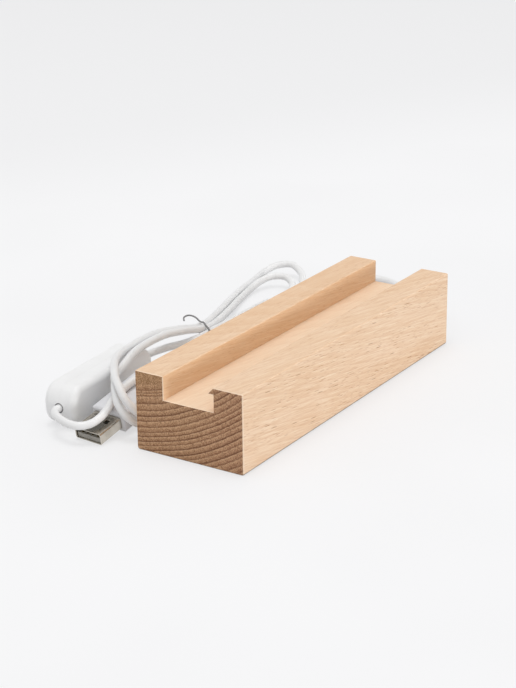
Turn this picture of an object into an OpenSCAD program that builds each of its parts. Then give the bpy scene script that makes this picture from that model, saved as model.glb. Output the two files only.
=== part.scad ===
// Wooden stand for a lit acrylic block: a beech block with a full-length channel,
// an LED strip under the channel's lip, and a white USB cord with an inline rocker
// switch, wound into a tied hank behind the block.
// X runs along the block, the tall face at -Y is the front, and Z = 0 is the table.

/* [Block] */
// Length of the wooden block
block_l = 150; // [120:1:240]
// Width of the wooden block, front to back
block_w = 45; // [40:1:70]
// Height of the wooden block
block_h = 30; // [26:1:50]
// Thickness of the wall behind the channel
back_wall = 12; // [8:0.5:16]
// Thickness of the wall in front of the channel
front_wall = 12; // [8:0.5:16]
// Depth of the channel
channel_d = 9; // [8.6:0.1:12]
// Reach of the lip over the channel
lip_reach = 2.4; // [1.8:0.1:3]
// Height of the lip at its root
lip_h = 2.5; // [1.6:0.1:3]
// Width of the broken edges of the wood
edge_break = 0.5; // [0.2:0.1:1]

/* [LED strip] */
// Width of the flexible board
strip_w = 5; // [4:0.5:5.5]
// Thickness of the flexible board with its tape
strip_t = 0.3; // [0.2:0.05:0.5]
// Bare channel wall at each end of the strip
strip_margin = 12; // [8:1:25]
// Distance between two LED packages
led_pitch = 8.3; // [6:0.1:17]
// Length of an LED package
led_l = 3.5; // [2:0.1:4]
// Height of an LED package
led_h = 2.8; // [1.2:0.1:3]
// Thickness of an LED package
led_t = 0.8; // [0.5:0.1:1.2]

/* [Cord] */
// Diameter of the cord
cord_d = 3; // [2.4:0.1:3.1]
// Diameter of a core inside the cord
core_d = 1.1; // [0.8:0.1:1.2]
// Gap between neighbouring strands of the hank
hank_gap = 0.5; // [0.45:0.05:0.8]
// Diameter of the wire that ties the hank
tie_d = 0.7; // [0.5:0.1:0.8]

/* [Inline switch] */
// Length of the switch housing
switch_l = 54; // [52:1:80]
// Thickness of the housing, base to cover
switch_t = 14; // [13.6:0.1:18]
// Width of the housing, which stands on edge
switch_w = 16; // [15:0.5:22]
// Corner radius of the housing, seen from the rocker's side
switch_corner = 7; // [5:0.5:7.4]
// Rounding of the housing's long edges
switch_round = 2.5; // [2:0.5:5]
// Wall thickness of the housing
switch_wall = 1.5; // [1.2:0.1:1.8]
// Radius of the rocker's curved ends about its pivot
rocker_r = 9; // [8:0.25:10]
// Width of the rocker
rocker_w = 8.6; // [7:0.2:9]
// Swing of the rocker between off and on
rocker_swing = 16; // [10:1:18]

/* [USB plug] */
// Width of the plug's metal shell
shell_w = 12; // [11.8:0.1:12.2]
// Height of the plug's metal shell
shell_h = 4.5; // [4.4:0.05:4.7]
// Length of shell outside the moulded grip
shell_out = 11.6; // [10:0.2:14]
// Sheet thickness of the shell
shell_t = 0.3; // [0.25:0.05:0.4]
// Width of the moulded grip
grip_w = 15.2; // [14:0.5:16]
// Height of the moulded grip
grip_h = 8; // [7:0.2:8.4]
// Length of the moulded grip
grip_l = 27.5; // [20:0.5:28]
// Length of the tapered strain relief
relief_l = 4.5; // [4:0.5:10]

/* [Hidden] */
$fn = 48;
cut = 1;                    // overrun of every cutting tool
fit = 0.2;                  // running clearance between moulded pieces
snug = 0.05;                // clearance of pieces that are pressed or moulded together

// Places in the channel
floor_z = block_h - channel_d;
front_in = -block_w / 2 + front_wall;
back_in = block_w / 2 - back_wall;
strip_l = block_l - 2 * strip_margin;
strip_z = (floor_z + block_h - lip_h) / 2;
resistor_l = 2;
resistor_h = 1.25;
resistor_t = 0.5;
pad_inset = 2;              // centre of the solder pads from the end of the board
pad_step = 2;               // distance between the two solder pads
pad_room = pad_inset + 2 * core_d;      // bare board that the soldered cores take
led_count = floor((strip_l - 2 * pad_room - led_l) / led_pitch) + 1;
led_first = -(led_count - 1) * led_pitch / 2;
window_l = led_l - 2 * led_t;           // recess in an LED package
window_h = led_h - led_t;
window_d = led_t / 4;
lead_in = 9;                // length of cord that lies inside the channel
lead_rest = 0.1;            // space beside a cord that lies on a surface
lead_y = front_in + cord_d / 2 + lead_rest;
lead_z = floor_z + cord_d / 2 + lead_rest;
glue_l = 5;
glue_wrap = 0.5;            // glue beside and over the cord
core_gap = 1.3;             // distance between the centres of the two cores

// The cord was laid out round a block of this length and width, and it keeps its
// place from the far end and the back face of any other block.
lay_l = 150;
lay_w = 45;
lay_shift = [(block_l - lay_l) / 2, (block_w - lay_w) / 2, 0];

// Switch: place of its centre, turn about Z, and its inner places from that centre
switch_place = [-48, 59.4, switch_w / 2];
switch_turn = 4;
mouth_d = cord_d + 2 * fit;
mouth_depth = 4;            // cord inside the housing, up to its stop
stop_t = 1.2;
pivot_y = switch_t / 2 - 3.6;
pin_d = 2;
pin_l = 1.6;
ear_t = 2;                  // bearing ears beside the rocker
ear_h = 4.2;
rocker_rise = 5;            // top of the rocker's ends above the pivot
rocker_dip = 3.9;           // top of the rocker's middle above the pivot
rocker_drop = 2.2;          // body of the rocker below the pivot
post_d = 4.4;
post_l = 4.4;               // plunger guide below the pivot
plunger_d = 2.4;
plunger_l = 2.4;
plunger_reach = 6.4;        // tip of the plunger below the pivot
spring_wire = 0.3;
spring_curls = 5;
spring_rings = 8;
lever_l = 14;
lever_w = 4;
lever_t = 0.6;
lever_gap = 0.15;           // between plunger and lever at mid swing
lever_ratio = 0.75;         // lever's swing for each degree of the rocker's
lever_y = pivot_y - plunger_reach - lever_gap - lever_t;
lever_pin_d = 1;            // ridge under the lever's middle, on which it rocks
seat_gap = 0.12;            // between the lever and what carries it
seat_drop = 0.2;            // top of the lever's seat below the ridge's axis
terminal_t = 0.5;
terminal_w = 2.4;
terminal_l = 10;
contact_x = 6;
contact_d = 2;
contact_drop = 0.75;        // fixed contact below the lever's pivot
base_floor = -switch_t / 2 + switch_wall;
peg_d = 2;
peg_l = 3;
peg_x = switch_l / 2 - 8;
boss_d = 3.6;
peg_z = switch_w / 2 - switch_wall - boss_d / 2 + 2 * snug;
peg_root = switch_t / 2 - switch_wall + 2 * snug;
window_x = sqrt(pow(rocker_r, 2) - pow(switch_t / 2 - switch_wall - pivot_y, 2)) + fit;
cavity_x = switch_l / 2 - mouth_depth - stop_t;

// Plug: middle of the shell's lower front edge, with the plug's turn and tilt
plug_place = [-79, 41, 0.2];
plug_turn = [1.3, -12.8, -3.8];
grip_round = 1.8;
grip_ease = 1.2;            // rounding at the ends of the grip
shell_round = 0.6;
shell_in = 7;               // length of shell inside the grip
latch_l = 2.4;
latch_w = 2;
latch_x = 6.4;
latch_y = 2.9;
insert_t = 1.9;
insert_back = 0.6;          // insert's front behind the shell's mouth
pin_pitch = 2.33;
contact_w = 1;
contact_t = 0.15;
contact_l = 8;
relief_root = 5.6;
relief_tip = cord_d + 1.2;

// Outer loop of the hank: from the far end along the block's back, up over the plug
// and the switch, and back along the outside to the far turn
hank_start = [104, 49, 1.6];
hank_course = [
    [98, 49, 1.6], [66, 47.6, 1.6], [46, 52, 1.9], [28, 56.8, 2.6],
    [10, 50.8, 2.2], [-12, 42.4, 1.6], [-32, 32.6, 1.6], [-47, 25.4, 2],
    [-55, 24.4, 2.9], [-62, 24.4, 5.9], [-67, 25.5, 9.2], [-69.6, 27.8, 12.3],
    [-69.9, 31.1, 15.4], [-67.7, 35.2, 18.4], [-63.9, 39.5, 19.1], [-58.6, 44, 18.9],
    [-51.6, 49.5, 18.7], [-44.4, 53.8, 18.4], [-29, 57.2, 17.8], [-17, 57.6, 17.6],
    [4, 62, 12.4], [28, 65.6, 5.8], [54, 73.4, 3.4], [71.2, 79.6, 1.8],
    [85, 82.9, 1.6], [97, 84.4, 1.9], [106.5, 84.6, 3.4], [113.1, 82.1, 4.8],
    [115.4, 76.4, 5.4], [113.1, 70.8, 4.1]];
// Place of the next loop from the outer one, in strand pitches
hank_step_shares = [
    [0.86, 3.77, 0.14], [4, 1.89, 0], [1.7, 1.5, 0], [0, 1.01, 0],
    [0, 1.23, 0], [0, 1.2, 0], [0, 1.2, 0], [-0.29, 1.26, -0.06],
    [-0.57, 1.14, -0.2], [-0.4, 1, -0.57], [-0.29, 0.83, -0.83], [-0.29, 0.8, -0.83],
    [-0.03, 0.83, -0.86], [0.51, 0.91, -0.86], [1.46, 1.26, -1.03], [2.17, 1.51, -1.09],
    [1.6, 0.09, -0.71], [1.31, -0.89, -0.14], [0.6, -1.06, 0], [0, -1.06, 0],
    [0, -1.06, 0.03], [0, -1, 0.03], [0, -1.1, 0], [-0.34, -1.2, 0.03],
    [-1.57, -1.43, 0.06], [-3.09, -1.57, 0.14], [-3.89, -1.71, 0.06], [-4.23, -1.66, -0.03],
    [-4.23, -1.57, -0.14], [-4.23, -1.49, -0.09]];
hank_loops = 2;
hank_pitch = cord_d + hank_gap;
hank_end = [[91.2, 62.2, 2.1], [85.6, 61.4, 1.6]];
switch_lead_points = [
    [85.6, 61.4, 1.6], [79, 60.9, 1.9], [70.4, 60.2, 4.1],
    [62, 59, 5.3], [52, 58.2, 5.8], [40, 58, 5.8], [28, 58.5, 5.8],
    [18, 57.9, 6.1], [8, 58.6, 6.4], [-3, 60.8, 7.3]];
lamp_lead_points = [
    [81, -8.8, 22.5], [90, -8, 20.2], [101, -4.6, 13.8], [111, 2.6, 6.8],
    [118.6, 12.6, 2.6], [124, 25.4, 1.6], [127.4, 34.6, 1.6], [127.2, 41.6, 1.6],
    [121.4, 47.2, 1.6], [112, 49, 1.6], [104, 49, 1.6]];
plug_lead_points = [
    [-79.6, 55.6, 8], [-81.9, 51.6, 7.6], [-83, 47, 7.2], [-82.4, 42.8, 7],
    [-79.8, 39.8, 7.4], [-76, 38.3, 8.6], [-71.6, 38.4, 10], [-66, 39.8, 11.4],
    [-58.4, 40.8, 13.1], [-50.6, 39.8, 15], [-43, 36.6, 16.7], [-34, 32.8, 15.4],
    [-24, 30.4, 11.6], [-13, 28.6, 6.4], [-2, 27, 2.8], [10, 25.8, 1.6],
    [20, 25.4, 1.6], [28.6, 26.6, 1.6], [33.6, 31, 1.6], [33, 36.8, 1.6],
    [27.6, 40.4, 1.6], [18, 41.2, 1.7], [8, 40.6, 2.6], [-3, 39.4, 5.6],
    [-14, 38.4, 9.6], [-24, 38, 12.2]];
tie_points = [
    [23.8, 71, 8.3], [25, 71.9, 9.1], [26.6, 71.4, 9.6], [27.7, 69.7, 9.5],
    [27.8, 67.7, 8.9], [27, 65.8, 8.3], [25.8, 63.9, 8.5], [24.6, 61.8, 8.95],
    [23.4, 59.9, 8.4], [22.5, 58.2, 7.85], [21.6, 56.8, 7.3], [19.2, 52.8, 4.2],
    [18.6, 51.7, 2.4], [18.9, 52.5, 0.9], [19.7, 54.2, 0.45], [22.4, 58.2, 0.5],
    [23.9, 60.7, 0.75], [27.3, 66.5, 4.1], [28, 67.7, 5.7]];

// Sweeps: rings square to the route, joined by triangles
function unit(v) = v / norm(v);
function heading(p, i) =
    i == 0 ? unit(p[1] - p[0])
    : i == len(p) - 1 ? unit(p[i] - p[i - 1])
    : unit(unit(p[i + 1] - p[i]) + unit(p[i] - p[i - 1]));
function ring(p, i, d, sides) =
    let (t = heading(p, i), s = unit(cross(t, [0, 0, 1])), u = cross(s, t))
    [for (j = [0 : sides - 1]) p[i] + d / 2 * (cos(360 * j / sides) * s + sin(360 * j / sides) * u)];
function skin(rings, sides) = [
    for (i = [0 : rings - 2], j = [0 : sides - 1])
        let (a = i * sides + j, b = i * sides + (j + 1) % sides)
        each [[a, b, b + sides], [a, b + sides, a + sides]],
    for (j = [1 : sides - 2]) each [
        [0, j + 1, j],
        [(rings - 1) * sides, (rings - 1) * sides + j, (rings - 1) * sides + j + 1]]];

module tube(route, d, sides) {
    polyhedron(points = [for (i = [0 : len(route) - 1]) each ring(route, i, d, sides)],
               faces = skin(len(route), sides));
}

// Hank: the same loop again and again, each a step inside the last
hank_route = concat([hank_start],
    [for (k = [0 : hank_loops - 1], i = [0 : len(hank_course) - 1])
        hank_course[i] + k * hank_pitch * hank_step_shares[i]], hank_end);

// Least gap between strands, on points spaced along the route
gap_steps = 8;
hank_fine = [for (i = [0 : len(hank_route) - 2], s = [0 : gap_steps - 1])
    hank_route[i] + (hank_route[i + 1] - hank_route[i]) * s / gap_steps];
function gap_between(i, j) = norm(hank_fine[i] - hank_fine[j]) - cord_d;
hank_least = min([for (i = [0 : len(hank_fine) - 1], j = [i + 1 : len(hank_fine) - 1])
    if (j - i > gap_steps * 2) gap_between(i, j)]);
echo(hank_least_gap = hank_least);

// Places turned from the switch and the plug into the cord's frame
function turned(v, a) = [v[0] * cos(a) - v[1] * sin(a), v[0] * sin(a) + v[1] * cos(a), v[2]];
function on_switch(v) = switch_place + turned(v, switch_turn);
function tilted(v, a) = [v[0] * cos(a) + v[2] * sin(a), v[1], v[2] * cos(a) - v[0] * sin(a)];
function rolled(v, a) = [v[0], v[1] * cos(a) - v[2] * sin(a), v[1] * sin(a) + v[2] * cos(a)];
function on_plug(v) = plug_place
    + turned(tilted(rolled(v, plug_turn[0]), plug_turn[1]), plug_turn[2]);

module in_lay() translate(lay_shift) children();
module at_switch() in_lay() translate(switch_place) rotate([0, 0, switch_turn]) children();
module at_plug() in_lay() translate(plug_place) rotate(plug_turn) children();
module at_rocker(angle) at_switch() translate([0, pivot_y, 0]) rotate([0, 0, angle]) children();

// Rounded rectangle of exact arcs, centred
module soft_square(w, h, r) {
    square([w - 2 * r, h], center = true);
    square([w, h - 2 * r], center = true);
    for (x = [-1, 1], y = [-1, 1]) translate([x * (w / 2 - r), y * (h / 2 - r)]) circle(r);
}

// Rectangle with its corners cut off, from the origin's middle
module broken_square(w, h) {
    e = edge_break;
    polygon([[-w / 2 + e, -h / 2], [w / 2 - e, -h / 2], [w / 2, -h / 2 + e], [w / 2, h / 2 - e],
             [w / 2 - e, h / 2], [-w / 2 + e, h / 2], [-w / 2, h / 2 - e], [-w / 2, -h / 2 + e]]);
}

// Block: its section along X, with the outer edges of both ends broken
module block_section() {
    e = edge_break;
    w = block_w / 2;
    polygon([[-w + e, 0], [w - e, 0], [w, e], [w, block_h - e], [w - e, block_h],
             [back_in + e, block_h], [back_in, block_h - e], [back_in, floor_z],
             [front_in, floor_z], [front_in, block_h - lip_h],
             [front_in + lip_reach, block_h - lip_h], [front_in, block_h],
             [-w + e, block_h], [-w, block_h - e], [-w, e]]);
}

module wood_base() color("burlywood") intersection() {
    translate([-block_l / 2, 0, 0]) rotate([90, 0, 90]) linear_extrude(block_l) block_section();
    translate([0, 0, -cut]) linear_extrude(block_h + 2 * cut) broken_square(block_l, block_w);
    translate([0, block_w / 2 + cut, block_h / 2]) rotate([90, 0, 0])
        linear_extrude(block_w + 2 * cut) broken_square(block_l, block_h);
}

// LED strip on the front wall's inner face, under the lip
module led_board() color("white")
    translate([-strip_l / 2, front_in, strip_z - strip_w / 2]) cube([strip_l, strip_t, strip_w]);

module led_packages() color("lemonchiffon")
    for (i = [0 : led_count - 1])
        translate([led_first + i * led_pitch, front_in + strip_t, strip_z]) difference() {
            translate([-led_l / 2, 0, -led_h / 2]) cube([led_l, led_t, led_h]);
            translate([-window_l / 2, led_t - window_d, -window_h / 2])
                cube([window_l, led_t, window_h]);
        }

module led_resistors() color("dimgray")
    for (i = [0 : led_count - 2])
        translate([led_first + (i + 1 / 2) * led_pitch - resistor_l / 2, front_in + strip_t,
                   strip_z - resistor_h / 2])
            cube([resistor_l, resistor_t, resistor_h]);

pad_x = strip_l / 2 - pad_inset;
lead_end_x = block_l / 2 - lead_in;
module strip_cores() color("firebrick")
    for (s = [-1, 1]) {
        beside = front_in + strip_t + core_d / 2 + snug;
        top = strip_z + s * pad_step / 2;
        tube([[lead_end_x, lead_y + s * core_gap / 2, lead_z],
              [lead_end_x - core_d, lead_y + s * core_gap / 2, lead_z],
              [pad_x + core_d, beside, top], [pad_x - core_d, beside, top]], core_d, 6);
    }

module lead_glue() color("ivory") difference() {
    translate([lead_end_x + fit, front_in, floor_z])
        cube([glue_l, lead_y + cord_d / 2 + glue_wrap - front_in, cord_d + lead_rest + glue_wrap]);
    translate([lead_end_x, lead_y, lead_z]) rotate([0, 90, 0])
        cylinder(h = glue_l + cut, d = cord_d + 2 * snug);
}

// Cord
lamp_route = concat(
    [for (x = [lead_end_x, block_l / 2]) [x, lead_y, lead_z]],
    [for (p = lamp_lead_points) p + lay_shift]);
module lamp_lead() color("whitesmoke") tube(lamp_route, cord_d, 8);

module cord_hank() color("whitesmoke") in_lay() tube(hank_route, cord_d, 6);

switch_lead_route = concat(switch_lead_points,
    [for (x = [switch_l / 2 + 2 * cord_d, switch_l / 2, switch_l / 2 - mouth_depth])
        on_switch([x, 0, 0])]);
module switch_lead() color("whitesmoke") in_lay() tube(switch_lead_route, cord_d, 8);

plug_end = shell_out + grip_l + relief_l;
plug_lead_route = concat(
    [for (x = [mouth_depth, 0, -cord_d / 2]) on_switch([-switch_l / 2 + x, 0, 0])],
    plug_lead_points,
    [for (x = [cord_d, 0]) on_plug([plug_end + x, 0, shell_h / 2])]);
module plug_lead() color("whitesmoke") in_lay() tube(plug_lead_route, cord_d, 8);

module hank_tie() color("dimgray") in_lay() tube(tie_points, tie_d, 6);

// Switch housing: two half shells of one rounded form, on edge
module puck(h, r, e) rotate([90, 0, 0]) rotate_extrude() intersection() {
    translate([0, -h / 2]) square([r, h]);
    union() {
        translate([0, -h / 2]) square([r - e, h]);
        translate([0, -h / 2 + e]) square([r, h - 2 * e]);
        for (y = [-1, 1]) translate([r - e, y * (h / 2 - e)]) circle(e);
    }
}
module housing_form() {
    r = switch_corner;
    rotate([90, 0, 90]) linear_extrude(switch_l - 2 * r, center = true)
        soft_square(switch_t, switch_w, switch_round);
    linear_extrude(switch_w - 2 * r, center = true) soft_square(switch_l, switch_t, switch_round);
    for (x = [-1, 1], z = [-1, 1])
        translate([x * (switch_l / 2 - r), 0, z * (switch_w / 2 - r)]) puck(switch_t, r, switch_round);
}
module housing_cavity() rotate([90, 0, 90]) linear_extrude(2 * cavity_x, center = true)
    soft_square(switch_t - 2 * switch_wall, switch_w - 2 * switch_wall, switch_round - switch_wall);
module half_shell(side) difference() {
    intersection() {
        housing_form();
        translate([-switch_l, side > 0 ? 0 : -switch_t, -switch_w])
            cube([2 * switch_l, switch_t, 2 * switch_w]);
    }
    housing_cavity();
    for (s = [-1, 1]) translate([s * (switch_l / 2 + cut), 0, 0]) rotate([0, -s * 90, 0])
        cylinder(h = mouth_depth + cut, d = mouth_d);
    for (z = [-1, 1]) translate([-switch_l / 2, 0, z * core_gap / 2]) rotate([0, 90, 0])
        cylinder(h = switch_l, d = core_d + fit);
}
module at_pegs() for (x = [-1, 1], z = [-1, 1])
    translate([x * peg_x, 0, z * peg_z]) rotate([90, 0, 0]) children();

module switch_base() color("white") at_switch() difference() {
    union() {
        half_shell(-1);
        at_pegs() cylinder(h = peg_root, d = boss_d);
    }
    at_pegs() translate([0, 0, -cut]) cylinder(h = peg_l + fit + cut, d = peg_d + 2 * snug);
}

module switch_cover() color("white") at_switch() difference() {
    union() {
        half_shell(1);
        at_pegs() translate([0, 0, -peg_root]) cylinder(h = peg_root + peg_l, d = peg_d);
        for (z = [-1, 1])
            translate([-ear_h / 2, pivot_y - ear_h / 2, z * (rocker_w / 2 + fit + ear_t / 2) - ear_t / 2])
                cube([ear_h, peg_root - pivot_y + ear_h / 2, ear_t]);
    }
    translate([0, switch_t / 2, 0]) rotate([90, 0, 0]) linear_extrude(3 * switch_wall, center = true)
        soft_square(2 * window_x, rocker_w + 2 * fit, fit + edge_break);
    translate([0, pivot_y, -rocker_w / 2 - fit - ear_t - cut])
        cylinder(h = rocker_w + 2 * (fit + ear_t + cut), d = pin_d + fit);
}

// Rocker at its off position, with its pivot pins and the guide of its plunger
module rocker_outline() intersection() {
    circle(rocker_r);
    polygon([[-rocker_r, rocker_rise], [0, rocker_dip], [rocker_r, rocker_rise],
             [rocker_r, 0], [post_d, -rocker_drop], [-post_d, -rocker_drop], [-rocker_r, 0]]);
}
module switch_rocker() color("whitesmoke") at_rocker(rocker_swing / 2) difference() {
    union() {
        translate([0, 0, -rocker_w / 2]) linear_extrude(rocker_w) rocker_outline();
        translate([0, 0, -rocker_w / 2 - pin_l]) cylinder(h = rocker_w + 2 * pin_l, d = pin_d);
        rotate([90, 0, 0]) cylinder(h = post_l, d = post_d);
    }
    translate([0, -pin_d / 2, 0]) rotate([90, 0, 0])
        cylinder(h = post_l + cut, d = plunger_d + fit);
}

module rocker_plunger() color("silver") at_rocker(rocker_swing / 2)
    translate([0, -plunger_reach, 0]) rotate([-90, 0, 0]) {
        cylinder(h = plunger_d / 2, d1 = plunger_d / 3, d2 = plunger_d);
        translate([0, 0, plunger_d / 2]) cylinder(h = plunger_l, d = plunger_d);
    }

spring_top = -pin_d / 2 - spring_wire / 2;
spring_bottom = -plunger_reach + plunger_d / 2 + plunger_l + spring_wire / 2;
spring_r = (plunger_d - spring_wire) / 2 - snug;
function curl(i, n) = let (a = 360 * spring_curls * i / n)
    [spring_r * cos(a), spring_bottom + (spring_top - spring_bottom) * i / n, spring_r * sin(a)];
module rocker_spring() color("gray") at_rocker(rocker_swing / 2)
    tube([for (i = [0 : spring_curls * spring_rings]) curl(i, spring_curls * spring_rings)],
         spring_wire, 6);

// Contacts: a see-saw lever that the plunger tips onto the fixed contact
lever_rest = -rocker_swing / 2 * lever_ratio;
module contact_lever() color("goldenrod") at_switch() translate([0, lever_y, 0])
    rotate([0, 0, lever_rest]) {
        translate([-lever_l / 2, 0, -lever_w / 2]) cube([lever_l, lever_t, lever_w]);
        translate([0, 0, -lever_w / 2]) cylinder(h = lever_w, d = lever_pin_d);
    }

module terminal(x, top, reach) {
    translate([min(x, reach), base_floor, -terminal_w / 2])
        cube([abs(reach - x), terminal_t, terminal_w]);
    translate([x, base_floor, 0]) rotate([-90, 0, 0]) cylinder(h = top - base_floor, d = contact_d);
}
module centre_terminal() color("goldenrod") at_switch() difference() {
    terminal(0, lever_y - seat_drop, terminal_l + contact_x);
    translate([0, lever_y, -terminal_w]) cylinder(h = 2 * terminal_w, d = lever_pin_d + 2 * snug);
}
module fixed_terminal() color("goldenrod") at_switch()
    terminal(-contact_x, lever_y - contact_drop - seat_gap, -terminal_l - contact_x);

cores_x = switch_l / 2 - mouth_depth;
module switch_cores() color("firebrick") at_switch() {
    for (s = [-1, 1])
        tube([[s * cores_x, 0, core_gap / 2], [s * (cores_x - stop_t - core_d), 0, core_gap / 2],
              [s * (terminal_l + contact_x), base_floor + terminal_t + core_d / 2, core_gap / 2],
              [s * (terminal_l + contact_x - 2 * core_d), base_floor + terminal_t + core_d / 2,
               core_gap / 2]], core_d, 6);
    tube([[cores_x, 0, -core_gap / 2], [cores_x - stop_t - core_d, 0, -core_gap / 2],
          [terminal_l + contact_x - core_d, base_floor + core_d, -terminal_w - core_d],
          [-terminal_l - contact_x + core_d, base_floor + core_d, -terminal_w - core_d],
          [-cores_x + stop_t + core_d, 0, -core_gap / 2], [-cores_x, 0, -core_gap / 2]], core_d, 6);
}

// USB plug, along +X from the mouth of its shell
module usb_grip() color("white") at_plug() translate([shell_out, 0, shell_h / 2]) difference() {
    union() {
        intersection() {
            rotate([90, 0, 90]) linear_extrude(grip_l) soft_square(grip_w, grip_h, grip_round);
            translate([grip_l / 2, 0, -grip_h]) linear_extrude(2 * grip_h)
                soft_square(grip_l, grip_w, grip_ease);
            translate([grip_l / 2, grip_w, 0]) rotate([90, 0, 0]) linear_extrude(2 * grip_w)
                soft_square(grip_l, grip_h, grip_ease);
        }
        translate([grip_l - grip_ease, 0, 0]) rotate([0, 90, 0])
            cylinder(h = relief_l + grip_ease, d1 = relief_root, d2 = relief_tip);
    }
    translate([-cut, 0, 0]) rotate([90, 0, 90])
        linear_extrude(shell_in + cut) soft_square(shell_w + 2 * snug, shell_h + 2 * snug, shell_round);
}

module usb_shell() color("silver") at_plug() difference() {
    translate([0, 0, shell_h / 2]) rotate([90, 0, 90]) linear_extrude(shell_out + shell_in) difference() {
        soft_square(shell_w, shell_h, shell_round);
        soft_square(shell_w - 2 * shell_t, shell_h - 2 * shell_t, shell_round - shell_t);
    }
    for (y = [-1, 1]) translate([latch_x, y * latch_y - latch_w / 2, -cut])
        cube([latch_l, latch_w, shell_h + 2 * cut]);
}

insert_w = shell_w - 2 * shell_round;
module usb_insert() color("white") at_plug()
    translate([insert_back, -insert_w / 2, shell_t + snug])
        cube([shell_out + shell_in - insert_back, insert_w, insert_t]);

module usb_contacts() color("gold") at_plug()
    for (i = [-1.5 : 1 : 1.5])
        translate([2 * insert_back, i * pin_pitch - contact_w / 2, shell_t + snug + insert_t])
            cube([contact_l, contact_w, contact_t]);

wood_base();
led_board();
led_packages();
led_resistors();
strip_cores();
lead_glue();
lamp_lead();
cord_hank();
switch_lead();
plug_lead();
hank_tie();
switch_base();
switch_cover();
switch_rocker();
rocker_plunger();
rocker_spring();
contact_lever();
centre_terminal();
fixed_terminal();
switch_cores();
usb_grip();
usb_shell();
usb_insert();
usb_contacts();
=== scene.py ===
"""Looks of the wooden acrylic block stand: camera, cords, wood, plastic, metal and light."""
from math import cos, radians, sin

import bmesh
import bpy
from mathutils import Matrix, Vector


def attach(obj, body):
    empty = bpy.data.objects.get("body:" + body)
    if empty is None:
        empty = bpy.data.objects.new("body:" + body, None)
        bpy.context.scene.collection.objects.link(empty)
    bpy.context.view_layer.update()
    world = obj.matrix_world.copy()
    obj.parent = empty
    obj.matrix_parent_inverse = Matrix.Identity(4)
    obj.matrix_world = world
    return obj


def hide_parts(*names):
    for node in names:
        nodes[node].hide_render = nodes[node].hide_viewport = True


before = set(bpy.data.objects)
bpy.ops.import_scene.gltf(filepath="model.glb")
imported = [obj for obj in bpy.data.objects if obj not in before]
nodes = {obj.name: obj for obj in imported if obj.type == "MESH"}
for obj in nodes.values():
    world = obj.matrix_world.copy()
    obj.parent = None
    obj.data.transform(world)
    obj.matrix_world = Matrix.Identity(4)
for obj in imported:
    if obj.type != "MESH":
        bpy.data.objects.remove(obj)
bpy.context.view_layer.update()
MM = 0.001

# The camera, in millimetres, fitted to the block's corners
CAMERA_AT = Vector((-565.144, -347.743, 271.153))
CAMERA_FORWARD = Vector((0.7840, 0.5098, -0.3541))
CAMERA_UP = Vector((0.3038, 0.1824, 0.9351))
FOCAL_PX, IMAGE_H, SENSOR = 1886.36, 688, 36.0
# What it sees, in metres
NEAREST, FURTHEST = 0.01, 20


def link(piece):
    bpy.context.scene.collection.objects.link(piece)
    return piece


def make_camera():
    data = bpy.data.cameras.new("camera")
    data.sensor_fit = "VERTICAL"
    data.sensor_height = data.sensor_width = SENSOR
    data.lens = FOCAL_PX / IMAGE_H * SENSOR
    data.clip_start, data.clip_end = NEAREST, FURTHEST
    forward = CAMERA_FORWARD.normalized()
    right = forward.cross(CAMERA_UP).normalized()
    up = right.cross(forward)
    turn = Matrix((right, up, -forward)).transposed().to_4x4()
    camera = link(bpy.data.objects.new("camera", data))
    camera.matrix_world = Matrix.Translation(CAMERA_AT * MM) @ turn
    bpy.context.scene.camera = camera


# Colour sockets of a Mix node
MIX_A, MIX_B, MIX_OUT = 6, 7, 2
# Noise between these levels makes soft clouds
CLOUD_LOW, CLOUD_HIGH = 0.3, 0.7
BEVEL_SAMPLES = 8


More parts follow.
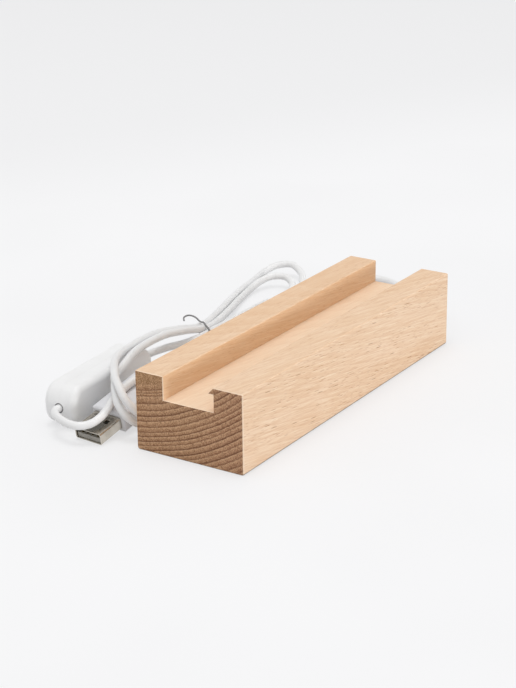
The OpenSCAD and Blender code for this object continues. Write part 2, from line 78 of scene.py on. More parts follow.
class Shader:
    """A node material with short calls for its nodes."""

    def __init__(self, name):
        self.mat = bpy.data.materials.new(name)
        self.mat.use_nodes = True
        self.tree = self.mat.node_tree
        self.tree.nodes.clear()
        self.out = self.tree.nodes.new("ShaderNodeOutputMaterial")
        self.bsdf = self.tree.nodes.new("ShaderNodeBsdfPrincipled")
        self.tree.links.new(self.bsdf.outputs[0], self.out.inputs["Surface"])
        self.coords = self.tree.nodes.new("ShaderNodeTexCoord")

    def put(self, socket, value):
        if hasattr(value, "links"):
            self.tree.links.new(value, socket)
        else:
            socket.default_value = value

    def set(self, **values):
        for key, value in values.items():
            self.put(self.bsdf.inputs[key.replace("_", " ")], value)

    def fill(self, node, values):
        for socket, value in zip(node.inputs, values):
            self.put(socket, value)

    def math(self, operation, *values):
        node = self.tree.nodes.new("ShaderNodeMath")
        node.operation = operation
        self.fill(node, values)
        return node.outputs[0]

    def plus(self, a, b):
        return self.math("ADD", a, b)

    def minus(self, a, b):
        return self.math("SUBTRACT", a, b)

    def times(self, first, *others):
        for other in others:
            first = self.math("MULTIPLY", first, other)
        return first

    def rest(self, share):
        """What the share leaves of 1."""
        return self.math("SUBTRACT", 1, share)

    def size(self, value):
        return self.math("ABSOLUTE", value)

    def above(self, a, b):
        return self.math("GREATER_THAN", a, b)

    def below(self, a, b):
        return self.math("LESS_THAN", a, b)

    def larger(self, a, b):
        return self.math("MAXIMUM", a, b)

    def diagonal(self, a, b):
        return self.math("SQRT", self.plus(self.times(a, a), self.times(b, b)))

    def vector(self, operation, *values):
        node = self.tree.nodes.new("ShaderNodeVectorMath")
        node.operation = operation
        self.fill(node, values)
        return node.outputs["Value" if operation == "DOT_PRODUCT" else "Vector"]

    def millimetres(self):
        return self.vector("MULTIPLY", self.coords.outputs["Object"], (1 / MM, 1 / MM, 1 / MM))

    def split(self, vector):
        node = self.tree.nodes.new("ShaderNodeSeparateXYZ")
        self.put(node.inputs[0], vector)
        return node.outputs[0], node.outputs[1], node.outputs[2]

    def join(self, x, y, z):
        node = self.tree.nodes.new("ShaderNodeCombineXYZ")
        self.fill(node, (x, y, z))
        return node.outputs[0]

    def noise(self, vector, scale=1.0, detail=2.0, roughness=0.5):
        node = self.tree.nodes.new("ShaderNodeTexNoise")
        self.put(node.inputs["Vector"], vector)
        self.put(node.inputs["Scale"], scale)
        self.put(node.inputs["Detail"], detail)
        self.put(node.inputs["Roughness"], roughness)
        return node.outputs["Fac"]

    def cells(self, vector):
        node = self.tree.nodes.new("ShaderNodeTexVoronoi")
        self.put(node.inputs["Vector"], vector)
        self.put(node.inputs["Scale"], 1.0)
        return node.outputs["Distance"]

    def ease(self, value, low, high, to_low=0.0, to_high=1.0):
        node = self.tree.nodes.new("ShaderNodeMapRange")
        node.interpolation_type = "SMOOTHSTEP"
        self.fill(node, (value, low, high, to_low, to_high))
        return node.outputs[0]

    def cloud(self, vector, scale, to_low=0.0, to_high=1.0, detail=2.0):
        noise = self.noise(vector, scale, detail)
        return self.ease(noise, CLOUD_LOW, CLOUD_HIGH, to_low, to_high)

    def mix(self, factor, a, b):
        node = self.tree.nodes.new("ShaderNodeMix")
        node.data_type = "RGBA"
        self.put(node.inputs[0], factor)
        self.put(node.inputs[MIX_A], a)
        self.put(node.inputs[MIX_B], b)
        return node.outputs[MIX_OUT]

    def coats(self, colour, coats):
        """The colour under thin coats, each given as where it lies, its strength and its colour."""
        for where, strength, coat in coats:
            colour = self.mix(self.times(where, strength), colour, coat)
        return colour

    def ramp(self, value, stops):
        node = self.tree.nodes.new("ShaderNodeValToRGB")
        self.put(node.inputs[0], value)
        points = node.color_ramp.elements
        while len(points) < len(stops):
            points.new(0.5)
        for point, (place, level) in zip(points, stops):
            point.position = place
            point.color = (level, level, level, 1)
        return node.outputs[0]

    def count_steps(self, value, places):
        """How many of the places the value has passed, with the part of the way to the next one."""
        span = places[-1] - places[0]
        last = len(places) - 1
        share = self.math("DIVIDE", self.minus(value, places[0]), span)
        stops = [((place - places[0]) / span, i / last) for i, place in enumerate(places)]
        return self.times(self.ramp(share, stops), last)

    def bump(self, height, depth_mm, rounding_mm=0):
        """Relief of that depth; edges look rounded by rounding_mm."""
        node = self.tree.nodes.new("ShaderNodeBump")
        if rounding_mm:
            rounded = self.tree.nodes.new("ShaderNodeBevel")
            rounded.samples = BEVEL_SAMPLES
            rounded.inputs["Radius"].default_value = rounding_mm * MM
            self.put(node.inputs["Normal"], rounded.outputs[0])
        self.put(node.inputs["Height"], height)
        node.inputs["Distance"].default_value = depth_mm * MM
        self.put(self.bsdf.inputs["Normal"], node.outputs[0])


def linear(value):
    """One part of an sRGB colour, 0 to 255, as linear light."""
    value /= 255
    return value / 12.92 if value <= 0.04045 else ((value + 0.055) / 1.055) ** 2.4


def rgb(r, g, b):
    return (linear(r), linear(g), linear(b), 1)


# The block, in millimetres: its length and height, the channel's walls and floor
BLOCK_L, BLOCK_H = 150, 30
CHANNEL_Y, CHANNEL_Z = 10.5, 21

# Direction of the fibre: its fall in Y and Z for each millimetre of X, and as a unit vector
FIBRE_Y, FIBRE_Z = -0.175, -0.135
FIBRE = (0.976, -0.171, -0.132)
# Middle of the growth rings on the near end, in millimetres
RING_Y, RING_Z, RING_X = 36.0, 100.0, -75.0
# Distance of each ring's dark line from there; on the ends, wood nearer than PLAIN_RADIUS is plain
PLAIN_RADIUS = 76
RING_RADII = (55.5, 57.4, 59.2, 61.1, 63.2, 65.0, 66.9, 68.8, 70.6, 72.4, 76.6, 78.9, 79.9, 80.9,
              83.8, 86.3, 88.5, 90.3, 92.6, 94.6, 96.2, 98.1, 99.6, 101.5, 103.8, 105.5, 107.7,
              109.7, 112.2, 114.4, 116.6)
# Shade across one ring, as places and levels
RING_DARK = [(0.0, 0.55), (0.05, 0.0), (0.45, 0.05), (0.72, 0.32), (0.84, 0.9), (0.93, 1.0),
             (1.0, 0.8)]
RING_LIGHT = [(0.0, 0.0), (0.08, 0.9), (0.2, 0.8), (0.36, 0.15), (0.6, 0.0)]
# How far the rings wander and ripple, in millimetres
WANDER, RIPPLE = 1.2, 0.5
# Rays: how many there are round a radian, and how short they are
RAYS_ROUND, RAYS_OUT = 240, 0.5
# Pores of the end grain: scale, detail and roughness of their noise
PORES = (2.5, 3, 0.78)
# Patterns along the fibre: how often they change along and across it, per millimetre
BANDS, STREAKS, THREADS, CROWDS = (0.012, 0.15), (0.02, 0.9), (0.08, 2.5), (0.02, 0.16)
# Dashes: the same, then the size and softness of each
FLECKS, STROKES, STRONG = (0.22, 2.0, 0.15, 0.15), (0.1, 1.3, 0.13, 0.08), (0.05, 0.8, 0.07, 0.05)
STROKE_EDGES, EDGE_SHIFT = (0.1, 1.3, 0.13, 0.1), (0, 0.1, 0.4)
# A face whose normal has a part over SQUARE_ON along an axis stands square on it
SQUARE_ON = 0.7
GRAIN_DEPTH = 0.06

SIDE_A, SIDE_B = rgb(242, 212, 182), rgb(236, 202, 168)
SIDE_LIGHT, SIDE_STREAK = rgb(251, 229, 204), rgb(226, 186, 150)
SIDE_FLECK, SIDE_STROKE = rgb(196, 142, 98), rgb(166, 108, 66)
# Painted light and shade: a lighter channel floor, a highlight on the rounded edges and a dark
# shadow line along the foot
SIDE_FLOOR_LIGHT, SIDE_ARRIS_HIGHLIGHT, SIDE_FOOT_SHADOW = rgb(255, 231, 202), rgb(254, 234, 210), rgb(96, 78, 68)
# The second colour is painted shade for the channel's inner walls
SIDE_TOP, SIDE_WALL_SHADE = rgb(230, 188, 146), rgb(234, 186, 134)
END_A, END_B = rgb(186, 142, 105), rgb(178, 133, 96)
END_FRONT, END_PLAIN = rgb(186, 135, 104), rgb(168, 130, 89)
END_LIGHT, END_DARK, END_PORE = rgb(218, 177, 139), rgb(102, 64, 42), rgb(126, 87, 60)


def beech():
    """Rings, rays and pores on the ends; bands, threads, flecks and dashes along the sides."""
    s = Shader("beech")
    p = s.millimetres()
    x, y, z = s.split(p)
    along = s.minus(x, RING_X)
    fall_y, fall_z = s.times(along, FIBRE_Y), s.times(along, FIBRE_Z)
    fibre_y, fibre_z = s.minus(y, fall_y), s.minus(z, fall_z)
    fibre = s.join(x, fibre_y, fibre_z)
    face = s.tree.nodes.new("ShaderNodeNewGeometry").outputs["True Normal"]
    face_x, face_y, face_z = (s.size(part) for part in s.split(face))
    level = s.above(face_z, SQUARE_ON)
    # The grain on a side runs in the plane of that side
    grain_line = s.join(x, s.minus(y, s.times(fall_y, level)),
                        s.minus(z, s.times(fall_z, s.rest(level))))

    def along_fibre(lengthwise, across):
        return s.vector("MULTIPLY", grain_line, (lengthwise, across, across))

    def dashes(lengthwise, across, size, soft, shift=(0, 0, 0)):
        """Short strokes along the fibre: 1 on a stroke, 0 beside it."""
        place = s.vector("ADD", along_fibre(lengthwise, across), shift)
        return s.ease(s.cells(place), size, size + soft, 1, 0)

    # Growth rings
    ring_y, ring_z = s.minus(fibre_y, RING_Y), s.minus(fibre_z, RING_Z)
    radius = s.diagonal(ring_y, ring_z)
    wander = s.noise(s.vector("MULTIPLY", fibre, (0.01, 0.05, 0.05)), detail=1)
    ripple = s.noise(s.vector("MULTIPLY", fibre, (0.03, 0.5, 0.5)))
    radius = s.plus(radius, s.times(s.minus(wander, 0.5), WANDER))
    radius = s.plus(radius, s.times(s.minus(ripple, 0.5), RIPPLE))
    count = s.count_steps(radius, RING_RADII)
    part, which = s.math("FRACT", count), s.math("FLOOR", count)
    light = s.ramp(part, RING_LIGHT)
    unequal = s.noise(s.join(s.times(which, 0.73), 0.3, 9.1), detail=0)
    dark = s.times(s.ramp(part, RING_DARK), s.ease(unequal, 0.3, 0.65, 0.62, 1.0))
    ringed = s.ease(radius, PLAIN_RADIUS - 1, PLAIN_RADIUS + 3)

    # End grain: rings, rays across them and open pores
    turn = s.math("ARCTAN2", ring_z, ring_y)
    rays = s.noise(s.join(s.times(turn, RAYS_ROUND), s.times(radius, RAYS_OUT), 0))
    pores = s.noise(p, *PORES)
    end = s.mix(s.ease(s.noise(p, 0.09), 0.35, 0.65), END_A, END_B)
    end = s.coats(end, (
        (s.ease(y, 4, -20), 0.6, END_FRONT),
        (s.rest(ringed), 0.7, END_PLAIN),
        (s.times(light, ringed), 0.75, END_LIGHT),
        (s.ease(rays, 0.56, 0.7), 0.4, END_LIGHT),
        (s.ease(pores, 0.5, 0.6), 0.75, END_PORE),
        (s.ease(pores, 0.49, 0.38), 0.95, END_LIGHT),
        (s.times(dark, ringed), 0.8, END_DARK),
    ))

    # Side grain; the tops and the channel's walls have fewer dashes
    bands = s.noise(along_fibre(*BANDS), detail=3, roughness=0.55)
    streaks = s.noise(along_fibre(*STREAKS), detail=3, roughness=0.6)
    threads = s.noise(along_fibre(*THREADS), detail=3, roughness=0.65)
    crowded = s.ease(s.noise(along_fibre(*CROWDS)), 0.35, 0.62, 0.35, 1.0)
    flecks = s.times(dashes(*FLECKS), crowded)
    strokes = s.times(dashes(*STROKES), crowded)
    strong = dashes(*STRONG)
    edges = s.times(dashes(*STROKE_EDGES, EDGE_SHIFT), crowded)
    channel_wall = s.times(s.above(face_y, SQUARE_ON), s.below(s.size(y), CHANNEL_Y + 0.1))
    fewer = s.rest(s.times(s.larger(level, channel_wall), 0.6))
    channel_floor = s.times(level, s.below(z, CHANNEL_Z + 1))
    top = s.times(level, s.above(z, BLOCK_H - 5))
    # Painted highlight on the rounded edges where an end meets a side
    flat = s.larger(face_x, s.larger(face_y, face_z))
    arris_highlight = s.times(s.ease(flat, 0.985, 0.97), s.ease(face_x, 0.1, 0.25))
    side = s.mix(s.ease(bands, 0.3, 0.7), SIDE_A, SIDE_B)
    side = s.coats(side, (
        (s.ease(streaks, 0.5, 0.8), 0.5, SIDE_STREAK),
        (dark, 0.4, SIDE_STREAK),
        (light, 0.25, SIDE_LIGHT),
        (s.ease(threads, 0.5, 0.7), 0.75, SIDE_LIGHT),
        (s.ease(threads, 0.5, 0.32), 0.6, SIDE_STREAK),
        (edges, 0.7, SIDE_LIGHT),
        (flecks, 0.42, SIDE_FLECK),
        (s.times(strokes, fewer), 0.8, SIDE_FLECK),
        (s.times(strong, fewer), 0.85, SIDE_STROKE),
        # Painted light: the channel's floor is made lighter
        (channel_floor, 0.5, SIDE_FLOOR_LIGHT),
        (top, s.ease(y, -12, 12, 0.1, 0.3), SIDE_TOP),
        # Painted shade: the channel's inner walls are darker and more orange
        (channel_wall, 0.35, SIDE_WALL_SHADE),
        # Painted highlight on the rounded edges
        (arris_highlight, 0.5, SIDE_ARRIS_HIGHLIGHT),
        # Painted shadow: a dark line along the foot of the sides
        (s.ease(z, 0.9, 0.5), 0.7, SIDE_FOOT_SHADOW),
    ))

    facing = s.size(s.vector("DOT_PRODUCT", face, FIBRE))
    is_end = s.ease(facing, 0.84, 0.93)
    s.set(Base_Color=s.mix(is_end, side, end), Roughness=s.ease(threads, 0.3, 0.7, 0.55, 0.68),
          Specular_IOR_Level=0.25)
    opened = s.times(s.larger(strokes, strong), 0.2)
    side_relief = s.minus(s.minus(s.times(threads, 0.5), s.times(dark, 0.4)), opened)
    end_relief = s.minus(s.times(pores, -0.8), s.times(dark, 0.5))
    s.bump(s.plus(s.times(is_end, end_relief), s.times(s.rest(is_end), side_relief)), GRAIN_DEPTH)
    return s.mat


def in_mouth(s, p):
    """Painted shade: 1 in the gap round the cord where it enters the switch, 0 elsewhere."""
    from_middle = s.vector("SUBTRACT", p, tuple(SWITCH_AT))
    along = s.vector("DOT_PRODUCT", from_middle, (cos(SWITCH_TURN), sin(SWITCH_TURN), 0))
    across = s.vector("DOT_PRODUCT", from_middle, (-sin(SWITCH_TURN), cos(SWITCH_TURN), 0))
    radius = s.diagonal(across, s.split(from_middle)[2])
    return s.times(s.ease(radius, MOUTH_R + 0.3, MOUTH_R + 0.1), s.above(s.size(along), MOUTH_FROM))


def plastic(name, base, shade, roughness=0.38, rounding=0, mouths=False):
    """Moulded plastic: slightly uneven colour, gloss and surface."""
    s = Shader(name)
    p = s.millimetres()
    colour = s.mix(s.cloud(p, 0.11), base, shade)
    if mouths:
        # Painted shade in the gaps round the cord at the switch's mouths
        colour = s.mix(in_mouth(s, p), colour, PAINTED_GAP_SHADE)
    s.set(Base_Color=colour, Roughness=s.cloud(p, 0.9, roughness - 0.04, roughness + 0.05))
    s.bump(s.noise(p, 5.0), 0.006, rounding)
    return s.mat


def metal(name, base, shade, roughness=0.24, rounding=0):
    """Rolled or plated metal with fine lines along X."""
    s = Shader(name)
    p = s.millimetres()
    lines = s.noise(s.vector("MULTIPLY", p, (0.4, 9.0, 9.0)), detail=3, roughness=0.6)
    s.set(Base_Color=s.mix(s.cloud(p, 0.35), base, shade), Metallic=1.0,
          Roughness=s.ease(lines, 0.3, 0.7, roughness - 0.05, roughness + 0.08))
    s.bump(lines, 0.004, rounding)
    return s.mat


# Face of the LED packages, and the strip's middle line with the reach of its tracks from there
LED_FACE_Y = -9.5
STRIP_Z, TRACK_IN, TRACK_OUT = 24.25, 1.6, 2.1


def led_body():
    """White package body with a yellow phosphor window in its recess."""
    s = Shader("led_body")
    p = s.millimetres()
    outward = s.above(s.split(s.coords.outputs["Normal"])[1], 0.9)
    window = s.times(outward, s.below(s.split(p)[1], LED_FACE_Y))
    grains = s.noise(p, 7.0)
    body = s.mix(s.noise(p, 0.6, 1), rgb(238, 236, 228), rgb(230, 228, 220))
    phosphor = s.mix(grains, rgb(236, 206, 84), rgb(226, 188, 60))
    s.set(Base_Color=s.mix(window, body, phosphor), Roughness=0.35)
    s.bump(grains, 0.006)
    return s.mat


def strip_board():
    """White lacquered flexible board with a faint copper pattern under the lacquer."""
    s = Shader("strip_white")
    p = s.millimetres()
    off_middle = s.size(s.minus(s.split(p)[2], STRIP_Z))
    track = s.times(s.above(off_middle, TRACK_IN), s.below(off_middle, TRACK_OUT))
    base = s.mix(s.times(track, 0.5), rgb(240, 240, 236), rgb(222, 214, 200))
    s.set(Base_Color=s.mix(s.cloud(p, 0.3), base, rgb(236, 234, 228)), Roughness=0.42)
    s.bump(s.plus(s.times(track, 0.5), s.times(s.noise(p, 3.0), 0.3)), 0.02)
    return s.mat


def glue():
    """Cloudy hot-melt glue."""
    s = Shader("glue")
    p = s.millimetres()
    s.set(Base_Color=s.mix(s.noise(p, 0.5), rgb(232, 224, 204), rgb(214, 206, 184)),
          Roughness=s.cloud(p, 1.1, 0.2, 0.4), Subsurface_Weight=0.15,
          Subsurface_Radius=(0.002, 0.0018, 0.0012))
    s.bump(s.noise(p, 0.9, 3), 0.12)
    return s.mat


def seen_directly(tree):
    """1 for rays from the camera, a mirror or glass; 0 for rays that carry light."""
    path = tree.nodes.new("ShaderNodeLightPath")
    seen = path.outputs["Is Camera Ray"]
    for other in ("Is Glossy Ray", "Is Transmission Ray"):
        node = tree.nodes.new("ShaderNodeMath")
        node.operation = "MAXIMUM"
        tree.links.new(seen, node.inputs[0])
        tree.links.new(path.outputs[other], node.inputs[1])
        seen = node.outputs[0]
    return seen


def mix_shaders(tree, share, first, second):
    """The second shader by that share, and the first one for the rest."""
    node = tree.nodes.new("ShaderNodeMixShader")
    if hasattr(share, "links"):
        tree.links.new(share, node.inputs[0])
    else:
        node.inputs[0].default_value = share
    tree.links.new(first.outputs[0], node.inputs[1])
    tree.links.new(second.outputs[0], node.inputs[2])
    return node


# How much of the floor's seen colour is even
FLOOR_EVEN = 0.65
# The floor's colour; a darker tone, used as painted shade on its far left and in faint random
# clouds; and the colour of the light it throws back up
FLOOR_COLOUR, FLOOR_FAR, FLOOR_THROWN = rgb(247, 247, 248), rgb(241, 241, 242), rgb(212, 212, 213)
# Where the painted shade on the floor's far left begins and where it is full, in millimetres of X
# plus 2 Y
FAR_FROM, FAR_TO = 450, 950


def floor_material():
    """Pale floor: what is seen of it is partly of an even colour, so that its shadows stay soft."""
    s = Shader("floor")
    p = s.millimetres()
    x, y, _ = s.split(p)
    # Painted shade: the floor grows darker toward the far left
    far_left_shade = s.ease(s.plus(x, s.times(y, 2.0)), FAR_FROM, FAR_TO)
    cloudy = s.times(s.cloud(p, 0.01, detail=1), 0.3)
    tone = s.mix(s.larger(far_left_shade, cloudy), FLOOR_COLOUR, FLOOR_FAR)
    s.set(Base_Color=tone, Roughness=0.9, Specular_IOR_Level=0.1)
    glow = s.tree.nodes.new("ShaderNodeEmission")
    s.put(glow.inputs["Color"], tone)
    # Less light goes back up to the object than is seen
    thrown = s.tree.nodes.new("ShaderNodeBsdfDiffuse")
    s.put(thrown.inputs["Color"], FLOOR_THROWN)
    even = mix_shaders(s.tree, FLOOR_EVEN, s.bsdf, glow)
    whole = mix_shaders(s.tree, seen_directly(s.tree), thrown, even)
    s.put(s.out.inputs["Surface"], whole.outputs[0])
    return s.mat


def paint(piece, material):
    """Every slot of the piece takes this material."""
    if piece.type == "MESH" and piece.data.materials:
        for i in range(len(piece.data.materials)):
            piece.data.materials[i] = material
    else:
        piece.data.materials.append(material)


# Routes of the cords, in millimetres
LAMP = [(66, -8.9, 22.6), (75, -8.9, 22.6), (81, -8.8, 22.5), (90, -8, 20.2), (101, -4.6, 13.8),
        (111, 2.6, 6.8), (118.6, 12.6, 2.6), (124, 25.4, 1.6), (127.4, 34.6, 1.6),
        (127.2, 41.6, 1.6), (121.4, 47.2, 1.6), (112, 49, 1.6)]
HANK_START = [(104, 49, 1.6)]
COURSE = [(98, 49, 1.6), (66, 47.6, 1.6), (46, 52, 1.9), (28, 56.8, 2.6), (10, 50.8, 2.2),
          (-12, 42.4, 1.6), (-32, 32.6, 1.6), (-47, 25.4, 2), (-55, 24.4, 2.9), (-62, 24.4, 5.9),
          (-67, 25.5, 9.2), (-69.6, 27.8, 12.3), (-69.9, 31.1, 15.4), (-67.7, 35.2, 18.4),
          (-63.9, 39.5, 19.1), (-58.6, 44, 18.9), (-51.6, 49.5, 18.7), (-44.4, 53.8, 18.4),
          (-29, 57.2, 17.8), (-17, 57.6, 17.6), (4, 62, 12.4), (28, 65.6, 5.8), (54, 73.4, 3.4),
          (71.2, 79.6, 1.8), (85, 82.9, 1.6), (97, 84.4, 1.9), (106.5, 84.6, 3.4),
          (113.1, 82.1, 4.8), (115.4, 76.4, 5.4), (113.1, 70.8, 4.1)]
# Place of the second loop from the first, in strand pitches
STEP_SHARES = [(0.86, 3.77, 0.14), (4, 1.89, 0), (1.7, 1.5, 0), (0, 1.01, 0), (0, 1.23, 0),
               (0, 1.2, 0), (0, 1.2, 0), (-0.29, 1.26, -0.06), (-0.57, 1.14, -0.2),
               (-0.4, 1, -0.57), (-0.29, 0.83, -0.83), (-0.29, 0.8, -0.83), (-0.03, 0.83, -0.86),
               (0.51, 0.91, -0.86), (1.46, 1.26, -1.03), (2.17, 1.51, -1.09), (1.6, 0.09, -0.71),
               (1.31, -0.89, -0.14), (0.6, -1.06, 0), (0, -1.06, 0), (0, -1.06, 0.03),
               (0, -1, 0.03), (0, -1.1, 0), (-0.34, -1.2, 0.03), (-1.57, -1.43, 0.06),
               (-3.09, -1.57, 0.14), (-3.89, -1.71, 0.06), (-4.23, -1.66, -0.03),
               (-4.23, -1.57, -0.14), (-4.23, -1.49, -0.09)]
STRAND_PITCH = 3.5
HANK_END = [(91.2, 62.2, 2.1)]
SWITCH_LEAD = [(85.6, 61.4, 1.6), (79, 60.9, 1.9), (70.4, 60.2, 4.1), (62, 59, 5.3),
               (52, 58.2, 5.8), (40, 58, 5.8), (28, 58.5, 5.8), (18, 57.9, 6.1), (8, 58.6, 6.4),
               (-3, 60.8, 7.3)]
PLUG_LEAD = [(-79.6, 55.6, 8), (-81.9, 51.6, 7.6), (-83, 47, 7.2), (-82.4, 42.8, 7),
             (-79.8, 39.8, 7.4), (-76, 38.3, 8.6), (-71.6, 38.4, 10), (-66, 39.8, 11.4),
             (-58.4, 40.8, 13.1), (-50.6, 39.8, 15), (-43, 36.6, 16.7), (-34, 32.8, 15.4),
             (-24, 30.4, 11.6), (-13, 28.6, 6.4), (-2, 27, 2.8), (10, 25.8, 1.6), (20, 25.4, 1.6),
             (28.6, 26.6, 1.6), (33.6, 31, 1.6), (33, 36.8, 1.6), (27.6, 40.4, 1.6),
             (18, 41.2, 1.7), (8, 40.6, 2.6), (-3, 39.4, 5.6), (-14, 38.4, 9.6), (-24, 38, 12.2)]
TIE = [(23.8, 71, 8.3), (25, 71.9, 9.1), (26.6, 71.4, 9.6), (27.7, 69.7, 9.5), (27.8, 67.7, 8.9),
       (27, 65.8, 8.3), (25.8, 63.9, 8.5), (24.6, 61.8, 8.95), (23.4, 59.9, 8.4),
       (22.5, 58.2, 7.85), (21.6, 56.8, 7.3), (19.2, 52.8, 4.2), (18.6, 51.7, 2.4),
       (18.9, 52.5, 0.9), (19.7, 54.2, 0.5), (22.4, 58.2, 0.53), (23.9, 60.7, 0.75),
       (27.3, 66.5, 4.1), (28, 67.7, 5.7)]
CORD_D, TIE_D = 3.0, 0.7
# The switch: its middle, its turn, half its length and the mouths that the cord enters
SWITCH_AT, SWITCH_TURN = Vector((-48, 59.4, 8)), radians(4)
SWITCH_HALF, MOUTH_DEPTH, MOUTH_R, MOUTH_FROM = 27, 4, 1.7, 20
# Colour of the painted shade in those gaps
PAINTED_GAP_SHADE = rgb(112, 112, 114)
# The plug: the shell's near end, its tilt about X, Y and Z, its height and the plug's length
PLUG_AT = Vector((-79, 41, 0.2))
PLUG_TILT = (radians(1.3), radians(-12.8), radians(-3.8))
SHELL_H, PLUG_L = 4.5, 43.6

switch_frame = Matrix.Translation(SWITCH_AT) @ Matrix.Rotation(SWITCH_TURN, 4, "Z")
plug_frame = Matrix.Translation(PLUG_AT)
for axis, tilt in zip("ZYX", reversed(PLUG_TILT)):
    plug_frame = plug_frame @ Matrix.Rotation(tilt, 4, axis)


def on_switch(x):
    return tuple(switch_frame @ Vector((x, 0, 0)))


def on_plug(x):
    return tuple(plug_frame @ Vector((x, 0, SHELL_H / 2)))


def smooth_curve(name, points, diameter, fine=10, sides=6):
    """A curve of one open spline that passes smoothly through points given in millimetres."""
    data = bpy.data.curves.new(name, "CURVE")
    data.dimensions = "3D"
    data.bevel_depth = diameter / 2 * MM
    data.bevel_resolution = sides
    data.resolution_u = fine
    data.use_fill_caps = True
    spline = data.splines.new("BEZIER")
    spline.bezier_points.add(len(points) - 1)
    places = [Vector(p) * MM for p in points]
    last = len(places) - 1
    for i, (knot, place) in enumerate(zip(spline.bezier_points, places)):
        before = places[i - 1] if i > 0 else place
        after = places[i + 1] if i < last else place
        back, ahead = (place - before).length, (after - place).length
        if i in (0, last):
            heading = (after - before).normalized()
        else:
            # Tangent of the circle through the three points
            heading = (place - before) / back * ahead + (after - place) / ahead * back
            heading.normalize()
        knot.handle_left_type = knot.handle_right_type = "FREE"
        knot.co = place
        knot.handle_left = place - heading * (back or ahead) / 3
        knot.handle_right = place + heading * (ahead or back) / 3
    return link(bpy.data.objects.new(name, data))


def hank_points():
    second = [tuple(c + STRAND_PITCH * s for c, s in zip(point, share))
              for point, share in zip(COURSE, STEP_SHARES)]
    return HANK_START + COURSE + second + HANK_END


def make_cords(material):
    half, inside = SWITCH_HALF, SWITCH_HALF - MOUTH_DEPTH
    into_switch = [on_switch(x) for x in (half + 2 * CORD_D, half, inside)]
    out_of_switch = [on_switch(-x) for x in (inside, half, half + CORD_D / 2)]
    into_plug = [on_plug(PLUG_L + CORD_D), on_plug(PLUG_L)]
    first = smooth_curve("lamp_cord", LAMP + hank_points() + SWITCH_LEAD + into_switch, CORD_D)
    second = smooth_curve("plug_cord", out_of_switch + PLUG_LEAD + into_plug, CORD_D)
    for piece in (first, second):
        paint(piece, material)
        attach(piece, "root")
    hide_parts("lamp_lead", "cord_hank", "switch_lead")
    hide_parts("plug_lead")
    return first, second


# Outline of the block's end (Y, Z), with whether the long edge there is sanded round; its lower
# edges are drawn round, and the lip stands over the channel
SECTION = [(-22.5, 0.8, 0), (-22.393, 0.4, 0), (-22.1, 0.107, 0), (-21.7, 0, 0),
           (21.5, 0, 0), (22.0, 0.134, 0), (22.366, 0.5, 0), (22.5, 1, 0),
           (22.5, BLOCK_H, 1), (CHANNEL_Y, BLOCK_H, 1), (CHANNEL_Y, CHANNEL_Z, 0),
           (-CHANNEL_Y, CHANNEL_Z, 0), (-CHANNEL_Y, 27.5, 0), (-8.1, 27.5, 0),
           (-CHANNEL_Y, BLOCK_H, 1), (-22.5, BLOCK_H, 1)]
# Places in SECTION between which the channel lies
CHANNEL_FIRST, CHANNEL_LAST = 9, 14
# Rounding of the outer edges and of the channel's ends, in millimetres, with their steps
OUTER_ROUND, OUTER_STEPS = 0.45, 3
INNER_ROUND, INNER_STEPS = 0.3, 2
SHARP = radians(50)
SAME_PLACE = 1e-6


def round_edges(bm, edges, radius, steps, clamp):
    bmesh.ops.bevel(bm, geom=edges, offset=radius * MM, segments=steps, profile=0.5, affect="EDGES",
                    clamp_overlap=clamp)


def make_block(material):
    """The beech block: its section drawn along X, with its edges sanded round."""
    bm = bmesh.new()
    rings = [[bm.verts.new((x * MM, y * MM, z * MM)) for y, z, _ in SECTION]
             for x in (-BLOCK_L / 2, BLOCK_L / 2)]
    count = len(SECTION)
    for i in range(count):
        j = (i + 1) % count
        bm.faces.new((rings[0][i], rings[0][j], rings[1][j], rings[1][i]))
    bm.faces.new(rings[0])
    bm.faces.new(list(reversed(rings[1])))
    bmesh.ops.recalc_face_normals(bm, faces=bm.faces)
    long_edges = [bm.edges.get((rings[0][i], rings[1][i])) for i in range(count) if SECTION[i][2]]
    end_edges = [bm.edges.get((ring[i], ring[(i + 1) % count])) for ring in rings
                 for i in range(count) if not CHANNEL_FIRST <= i < CHANNEL_LAST]
    round_edges(bm, long_edges + end_edges, OUTER_ROUND, OUTER_STEPS, False)

    def on_channel_end(v):
        return (abs(abs(v.co.x) - BLOCK_L / 2 * MM) < SAME_PLACE
                and abs(v.co.y) < (CHANNEL_Y + 0.1) * MM
                and (CHANNEL_Z - 0.1) * MM < v.co.z < BLOCK_H * MM)

    channel = [e for e in bm.edges if all(on_channel_end(v) for v in e.verts)
               and abs(e.verts[0].co.x - e.verts[1].co.x) < SAME_PLACE]
    round_edges(bm, channel, INNER_ROUND, INNER_STEPS, True)
    for edge in bm.edges:
        edge.smooth = len(edge.link_faces) == 2 and edge.calc_face_angle() < SHARP
    bmesh.ops.recalc_face_normals(bm, faces=bm.faces)
    data = bpy.data.meshes.new("beech_block")
    bm.to_mesh(data)
    bm.free()
    for face in data.polygons:
        face.use_smooth = True
    block = link(bpy.data.objects.new("beech_block", data))
    # Flat faces stay flat and the rounded edges blend into them
    normals = block.modifiers.new("normals", "WEIGHTED_NORMAL")
    normals.keep_sharp = True
    normals.weight = 100
    paint(block, material)
    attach(block, "root")
    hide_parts("wood_base")


# The floor's half width and how far it lies under the object, in metres
FLOOR_REACH, FLOOR_DROP = 6.0, 0.00005
AMBIENT = 0.7
# What a mirror sees: PALE up to WALL_TOP, DIM above CEILING (heights as sines)
WALL_TOP, CEILING, PALE, DIM = 0.2, 0.62, 0.9, 0.2
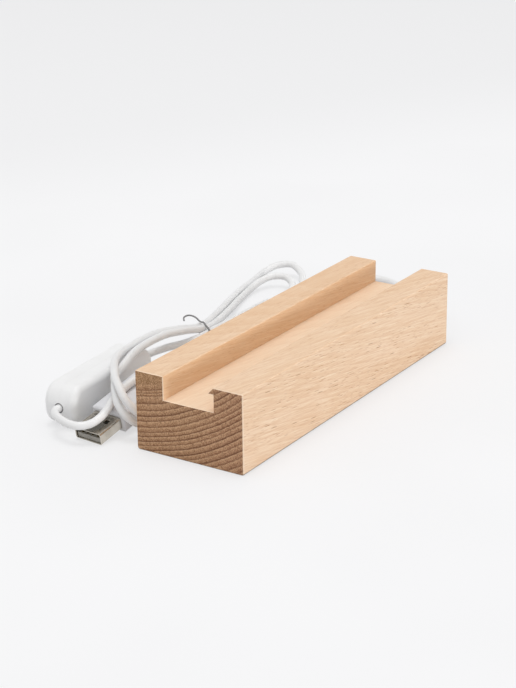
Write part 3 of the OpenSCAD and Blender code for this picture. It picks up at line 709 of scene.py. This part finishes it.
# Lamps: name, place, what they point at, width in metres and power in watts
LIGHTS = [
    ("over_wide", (0.0, 0.0, 1.4), (0, 0, 0.01), 1.6, 2.7),
    ("over", (0.0, 0.12, 1.4), (0, 0, 0.01), 0.5, 3.9),
    ("front", (-0.2, -1.5, 0.12), (0, 0, 0.015), 0.4, 7.5),
]


def make_stage():
    data = bpy.data.meshes.new("floor")
    reach = FLOOR_REACH
    corners = [(-reach, -reach, 0), (reach, -reach, 0), (reach, reach, 0), (-reach, reach, 0)]
    data.from_pydata(corners, [], [(0, 1, 2, 3)])
    floor = link(bpy.data.objects.new("floor", data))
    floor.location.z = -FLOOR_DROP
    paint(floor, floor_material())


def area_light(name, place, aim, size, power):
    data = bpy.data.lights.new(name, "AREA")
    data.shape = "DISK"
    data.size = size
    data.energy = power
    lamp = link(bpy.data.objects.new(name, data))
    lamp.location = place
    lamp.rotation_euler = (Vector(aim) - Vector(place)).to_track_quat("-Z", "Y").to_euler()


def make_world():
    """Even light from all round; a mirror sees pale walls and, above them, a darker ceiling."""
    world = bpy.data.worlds.new("world")
    bpy.context.scene.world = world
    world.use_nodes = True
    tree = world.node_tree
    tree.nodes.clear()
    out = tree.nodes.new("ShaderNodeOutputWorld")
    light = tree.nodes.new("ShaderNodeBackground")
    light.inputs["Color"].default_value = (1, 1, 1, 1)
    light.inputs["Strength"].default_value = AMBIENT
    direction = tree.nodes.new("ShaderNodeTexCoord")
    height = tree.nodes.new("ShaderNodeSeparateXYZ")
    tree.links.new(direction.outputs["Generated"], height.inputs[0])
    fade = tree.nodes.new("ShaderNodeMapRange")
    fade.interpolation_type = "SMOOTHSTEP"
    tree.links.new(height.outputs[2], fade.inputs[0])
    for socket, value in zip(list(fade.inputs)[1:5], (WALL_TOP, CEILING, PALE, DIM)):
        socket.default_value = value
    seen = tree.nodes.new("ShaderNodeBackground")
    tree.links.new(fade.outputs[0], seen.inputs["Strength"])
    blend = mix_shaders(tree, seen_directly(tree), light, seen)
    tree.links.new(blend.outputs[0], out.inputs["Surface"])


# The scene
make_camera()
cord_white = plastic("cord_white", rgb(242, 242, 242), rgb(237, 237, 237), roughness=0.42)
lamp_cord, plug_cord = make_cords(cord_white)
tie = smooth_curve("tie_wire", TIE, TIE_D, fine=8, sides=4)
paint(tie, plastic("tie_wire", rgb(148, 147, 148), rgb(128, 127, 128), roughness=0.5))
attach(tie, "root")
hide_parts("hank_tie")

make_block(beech())

switch_white = plastic("switch_white", rgb(248, 248, 248), rgb(245, 245, 245), roughness=0.34,
                       rounding=0.3, mouths=True)
rocker_white = plastic("rocker_white", rgb(236, 236, 235), rgb(232, 232, 231), roughness=0.28)
brass = metal("brass", rgb(214, 176, 96), rgb(200, 160, 84))
steel = metal("steel", rgb(190, 190, 192), rgb(172, 172, 175))
core = plastic("core_jacket", rgb(196, 44, 40), rgb(184, 38, 36), roughness=0.45)
FINISHES = {
    "led_board": strip_board(),
    "led_packages": led_body(),
    "led_resistors": plastic("resistor_black", rgb(46, 46, 48), rgb(36, 36, 38), roughness=0.5),
    "strip_cores": core, "switch_cores": core,
    "lead_glue": glue(),
    "switch_base": switch_white, "switch_cover": switch_white,
    "switch_rocker": rocker_white,
    "rocker_plunger": steel, "rocker_spring": steel,
    "contact_lever": brass, "centre_terminal": brass, "fixed_terminal": brass,
    "usb_grip": plastic("grip_white", rgb(232, 232, 235), rgb(227, 227, 230), roughness=0.36,
                        rounding=0.4),
    "usb_shell": metal("shell_nickel", rgb(208, 202, 191), rgb(196, 190, 178), roughness=0.15,
                       rounding=0.35),
    "usb_insert": plastic("insert_grey", rgb(178, 174, 166), rgb(168, 164, 156), roughness=0.45),
    "usb_contacts": metal("contact_gold", rgb(196, 178, 138), rgb(184, 166, 126)),
}
for name, finish in FINISHES.items():
    paint(nodes[name], finish)

make_stage()
make_world()
for light in LIGHTS:
    area_light(*light)
bpy.context.scene.view_settings.view_transform = "Standard"
